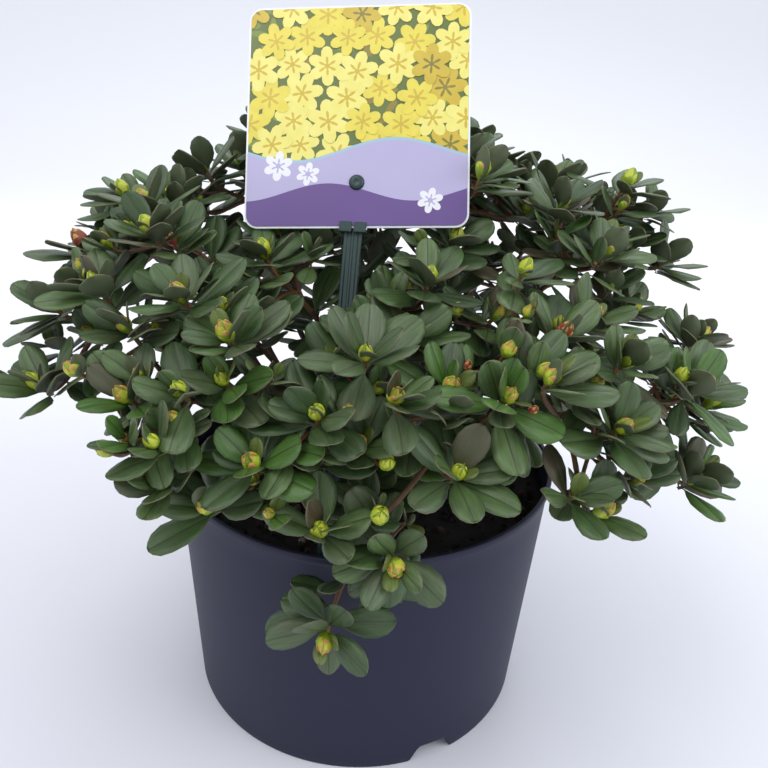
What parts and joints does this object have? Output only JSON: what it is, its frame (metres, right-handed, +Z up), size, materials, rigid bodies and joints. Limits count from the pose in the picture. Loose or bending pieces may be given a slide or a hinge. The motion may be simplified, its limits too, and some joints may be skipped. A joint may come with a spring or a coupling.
{
  "type": "potted dwarf rhododendron",
  "caption": "Low, rounded evergreen shrub with whorled oval leaves and plump buds, in a tapered round nursery pot with a square plant label on a stem.",
  "frame": {"origin": "centre of the pot's underside, on the pot's axis, level with what it stands on", "axes": "+Z up along the pot's axis; +Y away from the side the label's printed face is seen from, so the label faces -Y; +X to the right seen from there"},
  "size_m": [0.3433, 0.293, 0.3407],
  "materials": {
    "pot_plastic": "matt dark blue-grey moulded plastic",
    "potting_soil": "moist dark potting compost",
    "bark": "fine red-brown bark",
    "foliage": "satin dark green leaves",
    "card_plastic": "printed satin plastic card",
    "stem_plastic": "dark green plastic"
  },
  "bodies": {
    "root": {"bough_hanging": "bark", "bough_low_01": "bark", "bough_low_02": "bark", "bough_low_03": "bark", "bough_low_04": "bark", "bough_low_05": "bark", "bough_low_06": "bark", "bough_low_07": "bark", "bough_low_08": "bark", "bough_low_09": "bark", "bough_low_10": "bark", "bough_low_11": "bark", "bough_mid_01": "bark", "bough_mid_02": "bark", "bough_mid_03": "bark", "bough_mid_04": "bark", "bough_mid_05": "bark", "bough_mid_06": "bark", "bough_mid_07": "bark", "bough_mid_08": "bark", "bough_top_01": "bark", "bough_top_02": "bark", "bough_top_03": "bark", "bough_top_04": "bark", "foliage_hanging": "foliage", "foliage_low_01": "foliage", "foliage_low_02": "foliage", "foliage_low_03": "foliage", "foliage_low_04": "foliage", "foliage_low_05": "foliage", "foliage_low_06": "foliage", "foliage_low_07": "foliage", "foliage_low_08": "foliage", "foliage_low_09": "foliage", "foliage_low_10": "foliage", "foliage_low_11": "foliage", "foliage_mid_01": "foliage", "foliage_mid_02": "foliage", "foliage_mid_03": "foliage", "foliage_mid_04": "foliage", "foliage_mid_05": "foliage", "foliage_mid_06": "foliage", "foliage_mid_07": "foliage", "foliage_mid_08": "foliage", "foliage_top_01": "foliage", "foliage_top_02": "foliage", "foliage_top_03": "foliage", "foliage_top_04": "foliage", "label_card": "card_plastic", "label_pin": "stem_plastic", "label_stem": "stem_plastic", "pot": "pot_plastic", "soil": "potting_soil", "trunk": "bark"}
  },
  "joints": []
}
